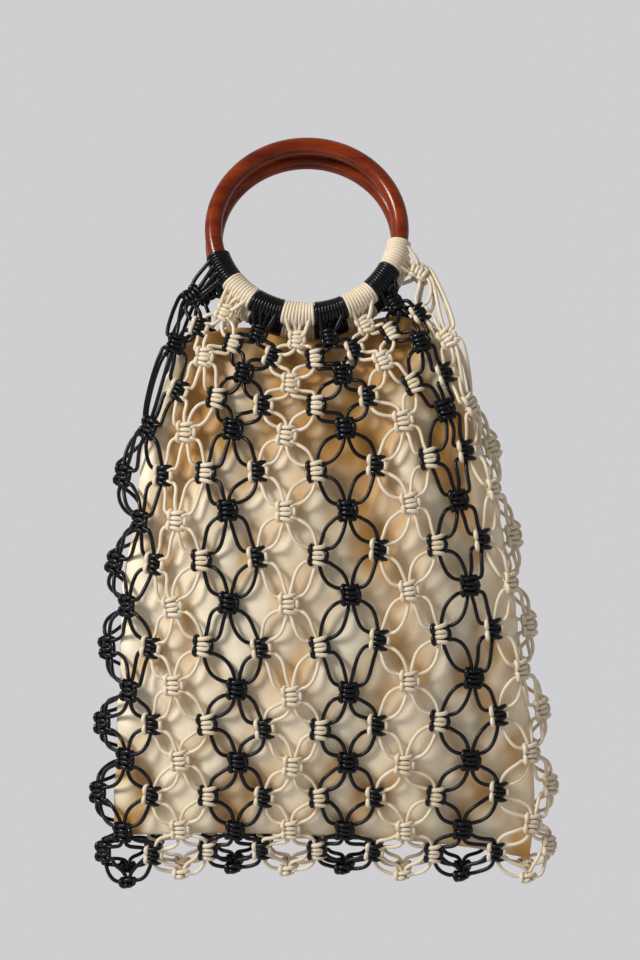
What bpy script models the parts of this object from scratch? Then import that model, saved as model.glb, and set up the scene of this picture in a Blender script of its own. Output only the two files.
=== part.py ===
"""Macrame hand bag with two round wooden ring handles and a cotton lining pouch.

Sizes are in millimetres and are turned into metres where a mesh is made. The bag hangs by its rings: the origin is
midway between the lowest points of the two ring tops, +X is to the right seen from the front, the front faces -Y and
+Z is up. The knots are counted from the left in columns u = 0 to 7, and from the rings down in rows v = 0 to 8. Between
them, at the half steps, are the knots that tie two neighbouring columns together.
"""

import math
from collections import namedtuple

import bmesh
import bpy
from mathutils import Vector

MM = 0.001
SMOOTH_ANGLE = 40.0
NET_SMOOTH_ANGLE = 30.0

# Rings
RING_OUTER = 130.0
RING_WIRE = 11.0
RING_TILT = 22.0
RING_SHIFT = 2.2
RING_SIDES = 8
RING_OPEN_STEPS = 22

# Bands of cord wound round the rings
CORD = 2.2
COLUMNS = 8
WRAP_START = -72.3
WRAP_ARC = 19.2
WRAP_STEPS = 2
PIECE_GAP = 0.3

# Net
NET_WIDTH = 289.0
NET_DROP = 353.0
NET_DEPTH = 74.0
KNOT_WIDTH = 11.6
KNOT_HEIGHT = 15.0
KNOT_SHOULDER = 7.0
EDGE_KNOT_WIDTH = 6.4
KNOT_THICK = 4.4
BAR_THICK = 2.4
KNOT_FAN = 0.75
FRONT_PITCH = 8.0
BACK_PITCH = -20.0
CORNER = 2.4
JOIN_ROW = 2

# Lining pouch
LINING_WALL = 1.2
LINING_GAP = 1.6
LINING_AROUND = 32
LINING_CORNER = 3.0
LINING_SEAM = 1.7
LINING_DIP_CURVE = 4.0

# Across and drop are places of columns 0, 2, 5 and 7, as shares of NET_WIDTH from the middle and of NET_DROP below the
# front ring. Turn is how far the joined edge lies outside the last column, swell the share of NET_DEPTH that the row
# opens to, lean its share of NET_DEPTH towards the back, and size the share of a full knot.
Row = namedtuple("Row", "x0 x2 x5 x7 turn_l turn_r z0 z2 z5 z7 swell lean size")
RING_ROW_SIZE = 0.72
ROWS = [
    Row(-0.287, -0.138, 0.167, 0.310, 0.000, 0.000, 0.051, 0.104, 0.082, 0.040, 0.32, 0.02, 0.85),
    Row(-0.345, -0.163, 0.212, 0.356, 0.053, 0.022, 0.203, 0.205, 0.190, 0.159, 0.60, 0.12, 1.00),
    Row(-0.364, -0.174, 0.227, 0.407, 0.045, 0.027, 0.371, 0.351, 0.338, 0.312, 0.97, 0.21, 1.00),
    Row(-0.392, -0.171, 0.225, 0.445, 0.045, 0.030, 0.522, 0.517, 0.495, 0.480, 1.00, 0.27, 1.00),
    Row(-0.389, -0.154, 0.225, 0.470, 0.053, 0.033, 0.675, 0.672, 0.657, 0.637, 0.90, 0.31, 1.00),
    Row(-0.396, -0.151, 0.214, 0.490, 0.062, 0.042, 0.797, 0.803, 0.807, 0.787, 0.66, 0.35, 1.00),
    Row(-0.403, -0.158, 0.216, 0.494, 0.056, 0.045, 0.929, 0.925, 0.925, 0.912, 0.34, 0.39, 0.90),
    Row(-0.396, -0.160, 0.212, 0.485, 0.040, 0.040, 1.007, 0.993, 1.004, 1.007, 0.00, 0.41, 0.85),
]
STATIONS = (0, 2, 5, 7)
LAST_ROW = len(ROWS)

# Level is a row of the net, left and right the columns that the pouch reaches there, and dip how many rows lower its
# right corner hangs.
Level = namedtuple("Level", "level left right dip")
POUCH = [
    Level(0.80, 0.20, 6.80, 0.00),
    Level(1.00, 0.12, 6.90, 0.00),
    Level(1.50, 0.06, 6.94, 0.00),
    Level(2.00, -0.02, 6.98, 0.00),
    Level(3.00, -0.18, 7.00, 0.00),
    Level(4.00, -0.18, 7.04, 0.00),
    Level(5.00, -0.20, 7.06, 0.00),
    Level(6.00, -0.24, 7.12, 0.00),
    Level(7.00, -0.24, 7.12, 0.00),
    Level(7.15, -0.20, 7.08, 1.00),
]

# A fold runs from a column at the mouth to a column at its foot, pressed in by a share of the depth there.
Fold = namedtuple("Fold", "top_u foot_u foot width press")
FOLDS = [
    Fold(1.2, 0.6, 5.0, 0.55, 0.34),
    Fold(2.7, 2.3, 4.2, 0.50, 0.26),
    Fold(4.1, 4.4, 5.2, 0.55, 0.30),
    Fold(5.4, 6.2, 4.6, 0.50, 0.36),
    Fold(3.3, 5.6, 6.6, 0.60, 0.22),
]

BLACK = (0.012, 0.012, 0.016)
CREAM = (0.78, 0.68, 0.50)
WOOD = (0.27, 0.055, 0.018)
COTTON = (0.80, 0.71, 0.54)

RING_RADIUS = (RING_OUTER - RING_WIRE) / 2
WRAP_INNER = RING_WIRE / 2 + PIECE_GAP
WRAP_OUTER = WRAP_INNER + CORD
TILT = math.radians(RING_TILT)
RING_DOWN = Vector((0, -math.sin(TILT), -math.cos(TILT)))
RING_NORMAL = Vector((0, -math.cos(TILT), math.sin(TILT)))
RING_SPACING = 2 * WRAP_OUTER + PIECE_GAP
RINGS_MIDDLE = RING_DOWN * RING_RADIUS + Vector((0, 0, RING_WIRE / 2))
JOIN = (KNOT_THICK + PIECE_GAP) / 2
FRONT, BACK = -1, 1


def clear_scene():
    for old in list(bpy.data.objects):
        bpy.data.objects.remove(old, do_unlink=True)


def material(name, colour, roughness):
    made = bpy.data.materials.get(name)
    if made is None:
        made = bpy.data.materials.new(name)
        made.use_nodes = True
        shader = made.node_tree.nodes["Principled BSDF"]
        shader.inputs["Base Color"].default_value = (*colour, 1)
        shader.inputs["Roughness"].default_value = roughness
        made.diffuse_color = (*colour, 1)
    return made


def add_solid(name, points, faces, skin, smooth=SMOOTH_ANGLE):
    """One closed body from points in millimetres, with its faces turned outward."""
    mesh = bpy.data.meshes.new(name)
    mesh.from_pydata([Vector(p) * MM for p in points], [], faces)
    work = bmesh.new()
    work.from_mesh(mesh)
    bmesh.ops.recalc_face_normals(work, faces=work.faces)
    work.to_mesh(mesh)
    work.free()
    mesh.shade_smooth()
    mesh.set_sharp_from_angle(angle=math.radians(smooth))
    mesh.materials.append(skin)
    made = bpy.data.objects.new(name, mesh)
    bpy.context.scene.collection.objects.link(made)
    return made


def ring_centre(side):
    """The front ring sits a little higher than the back one."""
    return RINGS_MIDDLE - side * (RING_NORMAL * RING_SPACING + -RING_DOWN * RING_SHIFT) / 2


def ring_point(side, angle, reach=0.0, turn=0.0):
    """A point at an angle in degrees from the bottom, at a distance from the wire's middle."""
    round_ring = math.radians(angle)
    outward = Vector((math.sin(round_ring), 0, 0)) + RING_DOWN * math.cos(round_ring)
    middle = ring_centre(side) + outward * RING_RADIUS
    return middle + (outward * math.cos(turn) + RING_NORMAL * math.sin(turn)) * reach


def tube_points(side, angles, reach):
    turns = [2 * math.pi * (k + 0.5) / RING_SIDES for k in range(RING_SIDES)]
    return [ring_point(side, angle, reach, turn) for angle in angles for turn in turns]


def tube_faces(rows, start=0, closed=False):
    faces = []
    for row in range(rows if closed else rows - 1):
        below, above = row * RING_SIDES, (row + 1) % rows * RING_SIDES
        for k in range(RING_SIDES):
            after = (k + 1) % RING_SIDES
            faces.append([start + i for i in (below + k, below + after, above + after, above + k)])
    return faces


def wrapped_angles():
    steps = COLUMNS * WRAP_STEPS
    return [WRAP_START + WRAP_ARC / WRAP_STEPS * k for k in range(steps + 1)]


def make_ring(name, side):
    wound = wrapped_angles()
    bare = 360.0 - (wound[-1] - wound[0])
    angles = wound + [wound[-1] + bare * k / RING_OPEN_STEPS for k in range(1, RING_OPEN_STEPS)]
    points = tube_points(side, angles, RING_WIRE / 2)
    skin = material("lacquered_wood", WOOD, 0.25)
    return add_solid(name, points, tube_faces(len(angles), closed=True), skin)


def make_wrap(name, side, column, skin):
    """A collar round the ring, as long as the cord wound there, open for the ring to pass through."""
    trim = math.degrees(PIECE_GAP / 2 / RING_RADIUS)
    start = WRAP_START + WRAP_ARC * column
    angles = [start + WRAP_ARC * k / WRAP_STEPS for k in range(WRAP_STEPS + 1)]
    angles[0] += trim
    angles[-1] -= trim
    rows = len(angles)
    inside = rows * RING_SIDES
    points = tube_points(side, angles, WRAP_OUTER) + tube_points(side, angles, WRAP_INNER)
    faces = tube_faces(rows) + tube_faces(rows, inside)
    for k in range(RING_SIDES):
        after = (k + 1) % RING_SIDES
        last = (rows - 1) * RING_SIDES
        faces.append([k, after, inside + after, inside + k])
        faces.append([last + k, last + after, inside + last + after, inside + last + k])
    return add_solid(name, points, faces, skin)


def along(values, u):
    """A smooth curve through the values at the four stations, read at column u."""
    total = 0.0
    for i, at in enumerate(STATIONS):
        part = values[i]
        for other in STATIONS:
            if other != at:
                part *= (u - other) / (at - other)
        total += part
    return total


def across_row(row, u):
    """The place across at column u. Outside the last columns the net turns round to its joined edge."""
    inside = min(max(u, 0), COLUMNS - 1)
    turn = row.turn_l if u < 0 else row.turn_r
    return along(row[0:4], inside) + turn * (u - inside) / 0.5


def row_at(v):
    """The row table read at any height from row 1 down."""
    low = min(int(v), LAST_ROW - 1)
    share = v - low
    upper, lower = ROWS[low - 1], ROWS[low]
    return Row(*(a + (b - a) * share for a, b in zip(upper, lower)))


def bulge(u):
    middle = (COLUMNS - 1) / 2
    out = min(abs(u - middle) / (middle + 0.5), 1.0)
    return (1 - out**CORNER) ** (1 / CORNER)


def roundness(u):
    """How far the net stands out at column u: it runs straight from one column to the next."""
    low = max(-0.5, min(math.floor(u), COLUMNS - 1))
    high = min(math.floor(low) + 1, COLUMNS - 0.5)
    share = (u - low) / (high - low)
    return bulge(low) + (bulge(high) - bulge(low)) * share


def ring_bottom(side):
    return ring_point(side, 0.0)


def middle_y(v):
    """The plane between the two faces, which leans back from the rings down."""
    top = (ring_bottom(FRONT).y + ring_bottom(BACK).y) / 2
    return top + NET_DEPTH * row_at(v).lean


def net_point(u, v, side):
    """A place on a face of the net, from row 1 down."""
    row = row_at(v)
    follow = max(0.0, 1 - v / (JOIN_ROW + 0.5))
    top = ring_bottom(FRONT).z
    if side == BACK:
        top += (ring_bottom(BACK).z - top) * follow
    half = JOIN + (NET_DEPTH / 2 - JOIN) * row.swell * roundness(u)
    return Vector((
        NET_WIDTH * across_row(row, u),
        middle_y(v) + side * half,
        top - NET_DROP * along(row[6:10], min(max(u, 0), COLUMNS - 1)),
    ))


def hung_knot(u, side):
    """A knot of the first row, hanging right under its band of cord, and the way that it hangs."""
    angle = WRAP_START + WRAP_ARC * (u + 0.5)
    fan = math.radians(angle * KNOT_FAN)
    pitch = math.radians(FRONT_PITCH if side == FRONT else BACK_PITCH)
    fall = Vector((0, -math.sin(pitch), -math.cos(pitch)))
    hang = Vector((math.sin(fan), 0, 0)) + fall * math.cos(fan)
    aslant = math.cos(math.radians(angle * (1 - KNOT_FAN)))
    reach = WRAP_OUTER / aslant + PIECE_GAP + KNOT_HEIGHT * RING_ROW_SIZE / 2
    return ring_point(side, angle) + hang * reach, hang


def knot_places(side):
    """The middle of each knot by (column, row), counted in half steps."""
    places = {}
    for u in range(COLUMNS):
        places[2 * u, 0] = hung_knot(u, side)[0]
        for v in range(1, LAST_ROW + 1):
            places[2 * u, 2 * v] = net_point(u, v, side)
    for v in range(LAST_ROW):
        for u in range(COLUMNS - 1):
            around = [places[2 * u + i, 2 * v + j] for i in (0, 2) for j in (0, 2)]
            places[2 * u + 1, 2 * v + 1] = sum(around, Vector()) / 4
        if v >= JOIN_ROW:
            row = row_at(v + 0.5)
            for u, turn in ((0, -row.turn_l), (COLUMNS - 1, row.turn_r)):
                edge = (places[2 * u, 2 * v] + places[2 * u, 2 * v + 2]) / 2
                edge.x += NET_WIDTH * turn
                edge.y = middle_y(v + 0.5) + side * JOIN
                places[2 * u + (1 if u else -1), 2 * v + 1] = edge
    return places


def mean_of(places, keys):
    found = [places[key] for key in keys if key in places]
    return sum(found, Vector()) / len(found) if found else None


def knot_frame(places, key, side):
    """A knot's directions to the right, up and outward, from the knots around it."""
    i, j = key
    here = places[key]
    left = mean_of(places, [(i - 1, j - 1), (i - 1, j + 1)]) or here
    right = mean_of(places, [(i + 1, j - 1), (i + 1, j + 1)]) or here
    above = mean_of(places, [(i - 1, j - 1), (i + 1, j - 1)])
    below = mean_of(places, [(i - 1, j + 1), (i + 1, j + 1)]) or here
    if j == 0:
        above = here - hung_knot(i // 2, side)[1]
        below = here
    rightward, upward = right - left, (above - below).normalized()
    if i < 0 or i > 2 * COLUMNS - 2 or j == 2 * LAST_ROW:
        outward = Vector((0, side, 0))
    else:
        outward = rightward.cross(upward).normalized() * -side
        outward *= -1 if outward.y * side < 0 else 1
    upward = (upward - outward * upward.dot(outward)).normalized()
    rightward = upward.cross(outward) * -side
    return rightward, upward, outward


def knot_size(j):
    row = j / 2
    if row < 1:
        return RING_ROW_SIZE + (ROWS[0].size - RING_ROW_SIZE) * row
    return row_at(row).size


class Net:
    """One face of the net: six-cornered knots joined by bars, thickened both ways."""

    CORNERS = ("top", "left_up", "left_low", "foot", "right_low", "right_up")

    def __init__(self, side):
        self.side = side
        self.places = knot_places(side)
        self.outer, self.inner, self.number, self.faces = [], [], {}, []
        for key in self.places:
            self.add_knot(key)

    def add_knot(self, key):
        rightward, upward, outward = knot_frame(self.places, key, self.side)
        size = knot_size(key[1])
        joined = key[0] < 0 or key[0] > 2 * COLUMNS - 2
        width = (EDGE_KNOT_WIDTH if joined else KNOT_WIDTH) * size / 2
        height = KNOT_HEIGHT * size / 2
        shoulder = KNOT_SHOULDER * size / 2
        spots = {
            "top": (0, height), "right_up": (width, shoulder), "right_low": (width, -shoulder),
            "foot": (0, -height), "left_low": (-width, -shoulder), "left_up": (-width, shoulder),
        }
        for corner in self.CORNERS:
            x, z = spots[corner]
            flat = self.places[key] + rightward * x + upward * z
            thick = (KNOT_THICK if x else BAR_THICK) / 2
            self.number[key, corner] = len(self.outer)
            self.outer.append(flat + outward * thick)
            self.inner.append(flat - outward * thick)
        self.add_face([(key, corner) for corner in self.CORNERS])

    def add_face(self, corners):
        self.faces.append([self.number[c] for c in corners])

    def add_bars(self):
        """From each knot a bar to each of the two knots below it, or straight down at an open side."""
        for i, j in self.places:
            here, left, right = (i, j), (i - 1, j + 1), (i + 1, j + 1)
            down = (i, j + 2)
            if right in self.places:
                self.add_face([(here, "right_low"), (here, "foot"), (right, "left_up"), (right, "top")])
            elif i == 2 * COLUMNS - 2 and down in self.places:
                self.add_face([(here, "right_low"), (here, "foot"), (down, "top"), (down, "right_up")])
            if left in self.places:
                self.add_face([(here, "foot"), (here, "left_low"), (left, "top"), (left, "right_up")])
            elif i == 0 and down in self.places:
                self.add_face([(here, "foot"), (here, "left_low"), (down, "left_up"), (down, "top")])

    def fill(self, i, j):
        """Close the opening round (i, j), where the real knots leave none."""
        ring = [((i, j - 1), "foot"), ((i - 1, j), "right_up"), ((i - 1, j), "right_low"),
                ((i, j + 1), "top"), ((i + 1, j), "left_low"), ((i + 1, j), "left_up")]
        self.add_face([corner for corner in ring if corner[0] in self.places])

    def close_dense_rows(self):
        for u in range(COLUMNS):
            self.fill(2 * u, 1)
        for u in range(COLUMNS - 1):
            self.fill(2 * u + 1, 2)

    def build(self, name, skin):
        self.add_bars()
        self.close_dense_rows()
        count = len(self.outer)
        edges = {(a, b) for face in self.faces for a, b in zip(face, face[1:] + face[:1])}
        faces = self.faces + [[count + i for i in reversed(face)] for face in self.faces]
        faces += [[b, a, count + a, count + b] for a, b in sorted(edges) if (b, a) not in edges]
        return add_solid(name, self.outer + self.inner, faces, skin, NET_SMOOTH_ANGLE)


def press(u, v):
    """How far the folds press the pouch in at a place, as a share of its depth."""
    total = 0.0
    mouth = POUCH[0].level
    for fold in FOLDS:
        down = (v - mouth) / (fold.foot - mouth)
        if 0 <= down < 1:
            off = (u - fold.top_u - (fold.foot_u - fold.top_u) * down) / fold.width
            total += fold.press * math.exp(-off * off) * math.sin(math.pi * min(1, 0.15 + down))
    return min(total, 0.5)


def net_surface(u, v, side):
    """The face of the net at any height, also between the rings and row 1."""
    if v >= 1:
        return net_point(u, v, side)
    hung = [hung_knot(k, side)[0] for k in STATIONS]
    top = Vector([along([p[axis] for p in hung], u) for axis in range(3)])
    return top.lerp(net_point(u, 1, side), v)


def pouch_point(level, turn, inset):
    """A point on the pouch's wall, at an angle round it, moved in by inset."""
    share = (level.right - level.left) / 2
    across = math.copysign(abs(math.cos(turn)) ** (2 / LINING_CORNER), math.cos(turn))
    depth = abs(math.sin(turn)) ** (2 / LINING_CORNER)
    u = (level.left + level.right) / 2 + across * share
    v = level.level + level.dip * abs(u / COLUMNS) ** LINING_DIP_CURVE
    front, back = net_surface(u, v, FRONT), net_surface(u, v, BACK)
    middle = (front + back) / 2
    room = (back.y - front.y) / 2 - KNOT_THICK / 2 - LINING_GAP
    half = max(room * (1 - press(u, v)), LINING_SEAM)
    x = middle.x - across * inset
    y = middle.y - math.copysign(depth * (half - inset), math.sin(turn))
    return Vector((x, y, middle.z))


def make_lining(name, skin):
    """A pouch with one wall all round, a sewn bottom and an open mouth."""
    turns = [2 * math.pi * k / LINING_AROUND for k in range(LINING_AROUND)]
    rows = len(POUCH)
    points, faces = [], []
    for inset in (0.0, LINING_WALL):
        for row in range(rows):
            level = POUCH[row]
            lift = inset if row == rows - 1 else 0.0
            for turn in turns:
                points.append(pouch_point(level, turn, inset) + Vector((0, 0, lift)))
    inside = rows * LINING_AROUND
    for start in (0, inside):
        for row in range(rows - 1):
            for k in range(LINING_AROUND):
                after = (k + 1) % LINING_AROUND
                a, b = start + row * LINING_AROUND, start + (row + 1) * LINING_AROUND
                faces.append([a + k, a + after, b + after, b + k])
        last = start + (rows - 1) * LINING_AROUND
        for k in range(LINING_AROUND // 2):
            other, before = -k % LINING_AROUND, -(k + 1) % LINING_AROUND
            corners = [last + k, last + k + 1, last + before, last + other]
            faces.append(list(dict.fromkeys(corners)))
    for k in range(LINING_AROUND):
        after = (k + 1) % LINING_AROUND
        faces.append([k, after, inside + after, inside + k])
    return add_solid(name, points, faces, skin)


def make_bag():
    cords = [material("black_cord", BLACK, 0.45), material("cream_cord", CREAM, 0.8)]
    for word, side in (("front", FRONT), ("back", BACK)):
        make_ring(f"ring_{word}", side)
        for column in range(COLUMNS):
            make_wrap(f"wrap_{word}_{column + 1}", side, column, cords[column % 2])
        Net(side).build(f"net_{word}", material("net_cord", CREAM, 0.7))
    make_lining("lining", material("cotton", COTTON, 0.85))


clear_scene()
make_bag()
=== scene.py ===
"""Macrame hand bag with two round wooden ring handles and a cotton pouch, made over its CAD frame.

Shapes are worked out in millimetres and turned into metres where a mesh is made. The knots are counted from the left
in columns u = 0 to 7, and from the rings down in rows v = 0 to 8. Round the bag the columns run on from the front
over the right side to the back, so that a place in the net is a pair of half steps: round the bag, and down.
"""

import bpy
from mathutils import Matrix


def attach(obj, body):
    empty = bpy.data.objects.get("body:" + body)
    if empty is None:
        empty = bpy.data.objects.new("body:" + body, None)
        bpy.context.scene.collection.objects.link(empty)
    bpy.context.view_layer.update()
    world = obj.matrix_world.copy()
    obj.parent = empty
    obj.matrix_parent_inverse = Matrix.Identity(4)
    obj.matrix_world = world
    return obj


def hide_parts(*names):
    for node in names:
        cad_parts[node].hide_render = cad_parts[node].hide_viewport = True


bl_info = {
    "name": "Macrame Ring Handle Bag",
    "version": (1, 0, 0),
    "blender": (4, 5, 0),
    "location": "3D View > Sidebar > Macrame Bag",
    "description": "Knots, winds and sews a macrame bag with ring handles over its CAD frame",
    "category": "Object",
}

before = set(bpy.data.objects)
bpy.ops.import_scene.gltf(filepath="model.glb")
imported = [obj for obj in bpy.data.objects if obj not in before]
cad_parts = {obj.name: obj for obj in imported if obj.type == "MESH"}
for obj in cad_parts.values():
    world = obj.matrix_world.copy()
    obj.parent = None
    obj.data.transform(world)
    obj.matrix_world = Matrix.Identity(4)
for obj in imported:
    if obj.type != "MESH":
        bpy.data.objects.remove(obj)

import math
from collections import namedtuple

import bpy
import numpy as np
from bpy.props import FloatProperty, FloatVectorProperty, IntProperty, PointerProperty
from mathutils import Vector, kdtree

MM = 0.001

# Rings, as in the CAD model
RING_OUTER = 130.0
RING_WIRE = 11.0
RING_TILT = 22.0
RING_SHIFT = 2.2

# Bands of cord wound round the rings
COLUMNS = 8
WRAP_START = -72.3
WRAP_ARC = 19.2
WRAP_REACH = 8.0
WRAP_TURNS = 9
WOUND_CORD = 2.15
WOUND_GAP = 0.1
WOUND_STEPS = 26
WOUND_PHASE = 0.4
PIECE_GAP = 0.3

# Net
NET_WIDTH = 289.0
NET_DROP = 353.0
NET_DEPTH = 74.0
KNOT_HEIGHT = 15.0
KNOT_THICK = 4.4
KNOT_FAN = 0.75
FRONT_PITCH = 8.0
BACK_PITCH = -20.0
CORNER = 2.4
JOIN_ROW = 2
ROUND = 4 * COLUMNS
SIDE_KNOTS = (2 * COLUMNS - 1, ROUND - 1)
SIDE_KNOT_TURN = 1.2
LEAST_KNOT_SIZE = 0.45
KNOT_TILT = 4.5
LAST_KNOT_DROP = 3
FIRST_REACH = 6.4
FIRST_TURN = 0.7
CORD_STEP = 1.5
CORD_SIDES = 8
CROWD_REACH = 3.4

Row = namedtuple("Row", "x0 x2 x5 x7 turn_l turn_r z0 z2 z5 z7 swell lean size")
RING_ROW_SIZE = 0.72
ROWS = [
    Row(-0.287, -0.138, 0.167, 0.310, 0.000, 0.000, 0.051, 0.104, 0.082, 0.040, 0.32, 0.02, 0.85),
    Row(-0.345, -0.163, 0.212, 0.356, 0.053, 0.022, 0.203, 0.205, 0.190, 0.159, 0.60, 0.12, 1.00),
    Row(-0.364, -0.174, 0.227, 0.407, 0.045, 0.027, 0.371, 0.351, 0.338, 0.312, 0.97, 0.21, 1.00),
    Row(-0.392, -0.171, 0.225, 0.445, 0.045, 0.030, 0.522, 0.517, 0.495, 0.480, 1.00, 0.27, 1.00),
    Row(-0.389, -0.154, 0.225, 0.470, 0.053, 0.033, 0.675, 0.672, 0.657, 0.637, 0.90, 0.31, 1.00),
    Row(-0.396, -0.151, 0.214, 0.490, 0.062, 0.042, 0.797, 0.803, 0.807, 0.787, 0.66, 0.35, 1.00),
    Row(-0.403, -0.158, 0.216, 0.494, 0.056, 0.045, 0.929, 0.925, 0.925, 0.912, 0.34, 0.39, 0.90),
    Row(-0.396, -0.160, 0.212, 0.485, 0.040, 0.040, 1.007, 0.993, 1.004, 1.007, 0.00, 0.41, 0.85),
]
STATIONS = (0, 2, 5, 7)
LAST_ROW = len(ROWS)

# How far each knot of the front hangs from its regular place, to the right and up, one row of the net to a line. The
# knots of the back stray the other way, by less.
BACK_STRAY = -0.6
STRAYS = [
    [(-9, -8), (-3.5, -2.3), (-1.3, -3.7), (-0.1, -2.9), (-2.9, -2.6), (-1.9, -3.2), (-1.4, -3.1), (3.0, -2.0)],
    [(0.4, -0.8), (0.4, 3.4), (0.3, -0.7), (0.6, -6.0), (2.9, -3.4), (-0.3, -0.8), (-0.9, 4.1), (-0.6, -0.8)],
    [(0.5, -0.2), (2.3, -2.2), (0.6, -0.2), (-2.1, -4.7), (-2.6, -1.9), (-0.6, -0.4), (-1.1, 2.1), (-0.4, -0.4)],
    [(0.6, 0.2), (1.2, -3.6), (0.7, 0.3), (-1.2, -1.8), (-2.4, -2.4), (-0.6, 0.2), (-1.8, -1.4), (-0.4, -0.1)],
    [(0.4, 0.2), (-0.2, -0.4), (0.4, 0.8), (0.2, -1.9), (0.2, 1.1), (-0.6, 0.7), (2.7, 1.0), (-0.3, 0.1)],
    [(0.3, 0.1), (-4.5, 4.1), (0.4, 1.0), (-1.1, -4.6), (-2.1, -3.8), (-0.4, 0.8), (4.0, -0.6), (-0.2, 0.1)],
    [(-0.4, -0.6), (-2.0, 0.1), (0.0, 0.3), (0.3, -0.9), (0.1, 2.3), (-0.1, 0.4), (3.4, 0.5), (0.3, -0.2)],
    [(-0.9, -1.4), (-0.1, -0.3), (-0.3, -1.1), (0.1, -0.1), (-1.5, -0.6), (0.3, -1.1), (-2.4, -2.0), (1.0, -1.6)],
    [(0.2, -7.0), (0.2, -5.5), (-0.7, -3.0), (-1.0, -3.9), (-1.0, -1.4), (0.4, -3.6), (-0.4, -2.6), (1.5, -4.0)],
]

# Lining pouch, as in the CAD model
LINING_GAP = 1.6
LINING_CORNER = 3.0
LINING_SEAM = 1.7
LINING_DIP_CURVE = 4.0
LINING_BACK_RISE = 0.95
LINING_RISE_WIDTH = 3.4
LINING_RISE_SHARE = 8
LINING_SHADED_ROWS = 2.6
LINING_MOST_RELIEF = 2.2
LINING_SINK = 0.4
LINING_AROUND = 256
LINING_DOWN = 150
Level = namedtuple("Level", "level left right dip")
POUCH = [
    Level(0.75, 0.20, 6.80, 0.00),
    Level(1.00, 0.12, 6.90, 0.00),
    Level(1.50, 0.06, 6.94, 0.00),
    Level(2.00, -0.02, 6.98, 0.00),
    Level(3.00, -0.18, 7.00, 0.00),
    Level(4.00, -0.18, 7.04, 0.00),
    Level(5.00, -0.20, 7.06, 0.00),
    Level(6.00, -0.24, 7.12, 0.00),
    Level(7.00, -0.24, 7.12, 0.00),
    Level(7.15, -0.20, 7.08, 1.00),
]
Fold = namedtuple("Fold", "top_u foot_u head foot width press")
FOLDS = [
    Fold(1.2, 0.6, 0.75, 5.0, 0.55, 0.34),
    Fold(2.7, 2.3, 0.75, 4.2, 0.50, 0.26),
    Fold(4.1, 4.4, 0.75, 4.4, 0.50, 0.28),
    Fold(5.4, 6.2, 0.75, 4.6, 0.50, 0.36),
    Fold(3.3, 5.6, 0.75, 6.6, 0.60, 0.22),
    Fold(3.42, 3.52, 3.3, 5.6, 0.13, 0.12),
    Fold(1.30, 1.10, 3.6, 6.9, 0.16, 0.10),
    Fold(6.20, 6.55, 4.2, 6.4, 0.28, 0.26),
]

RING_RADIUS = (RING_OUTER - RING_WIRE) / 2
TILT = math.radians(RING_TILT)
RING_DOWN = Vector((0, -math.sin(TILT), -math.cos(TILT)))
RING_NORMAL = Vector((0, -math.cos(TILT), math.sin(TILT)))
RING_SPACING = 2 * WRAP_REACH + PIECE_GAP
RINGS_MIDDLE = RING_DOWN * RING_RADIUS + Vector((0, 0, RING_WIRE / 2))
JOIN = (KNOT_THICK + PIECE_GAP) / 2
FRONT, BACK = -1, 1

# The upper half of a double square knot: right, up and outward from its middle in millimetres, and how thick the cord
# lies there as a share of its diameter. The lower half is the same upside down. The first cord comes in on the left and
# makes the bars in front, the second comes in on the right, passes behind and loops round both sides.
BAR_CORD = [
    (-6.8, 4.3, -0.4, 1.0), (-4.6, 4.2, 0.0, 1.0), (-3.0, 4.4, 1.5, 1.1), (0.0, 4.9, 2.2, 1.2), (2.8, 5.5, 1.8, 1.15),
    (4.5, 5.7, 0.5, 1.05), (4.6, 4.9, -1.2, 1.0), (3.0, 3.7, -2.1, 1.0), (0.0, 2.9, -2.2, 1.0), (-3.0, 2.2, -1.7, 1.0),
    (-4.3, 1.7, 0.0, 1.0), (-3.0, 1.45, 1.5, 1.1), (0.0, 1.5, 2.3, 1.2), (2.8, 1.4, 1.9, 1.15), (4.1, 0.0, 1.0, 1.05),
]
LOOP_CORD = [
    (6.8, 4.3, -0.3, 1.0), (5.0, 4.0, 0.9, 1.05), (3.9, 3.3, 1.2, 1.1), (2.2, 3.6, -1.0, 1.0), (0.0, 4.4, -1.8, 1.0),
    (-3.0, 5.5, -1.2, 1.0), (-4.3, 6.2, 0.4, 1.05), (-4.9, 5.2, 1.9, 1.2), (-5.1, 3.5, 2.3, 1.3), (-4.8, 1.6, 1.8, 1.2),
    (-4.2, 0.5, 0.6, 1.0), (-2.4, 0.4, -1.6, 1.0), (0.0, 0.4, -1.8, 1.0), (2.6, 1.6, -1.6, 1.0), (4.4, 2.6, 0.2, 1.1),
    (5.5, 1.5, 1.3, 1.2), (5.6, 0.0, 1.4, 1.25),
]
CORE_CORD = [(1.5, 7.4, 0.0, 1.0), (1.15, 4.0, 0.0, 0.9), (1.15, 0.0, 0.0, 0.9)]

CAMERA_PLACE = (0.0084, -2.207, -0.2053)
CAMERA_LENS = 128.2
CAMERA_SENSOR = 36.0


def linear(text):
    """The linear red, green and blue of an sRGB hex value."""
    parts = [int(text[i:i + 2], 16) / 255 for i in (0, 2, 4)]
    return tuple(p / 12.92 if p <= 0.04045 else ((p + 0.055) / 1.055) ** 2.4 for p in parts)


# Layout of the bag

def ring_centre(side):
    return RINGS_MIDDLE - side * (RING_NORMAL * RING_SPACING + -RING_DOWN * RING_SHIFT) / 2


def ring_point(side, angle, reach=0.0, turn=0.0):
    """A point at an angle in degrees from the bottom of a ring, at a distance from the wire's middle."""
    round_ring = math.radians(angle)
    outward = Vector((math.sin(round_ring), 0, 0)) + RING_DOWN * math.cos(round_ring)
    middle = ring_centre(side) + outward * RING_RADIUS
    return middle + (outward * math.cos(turn) + RING_NORMAL * math.sin(turn)) * reach


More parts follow.
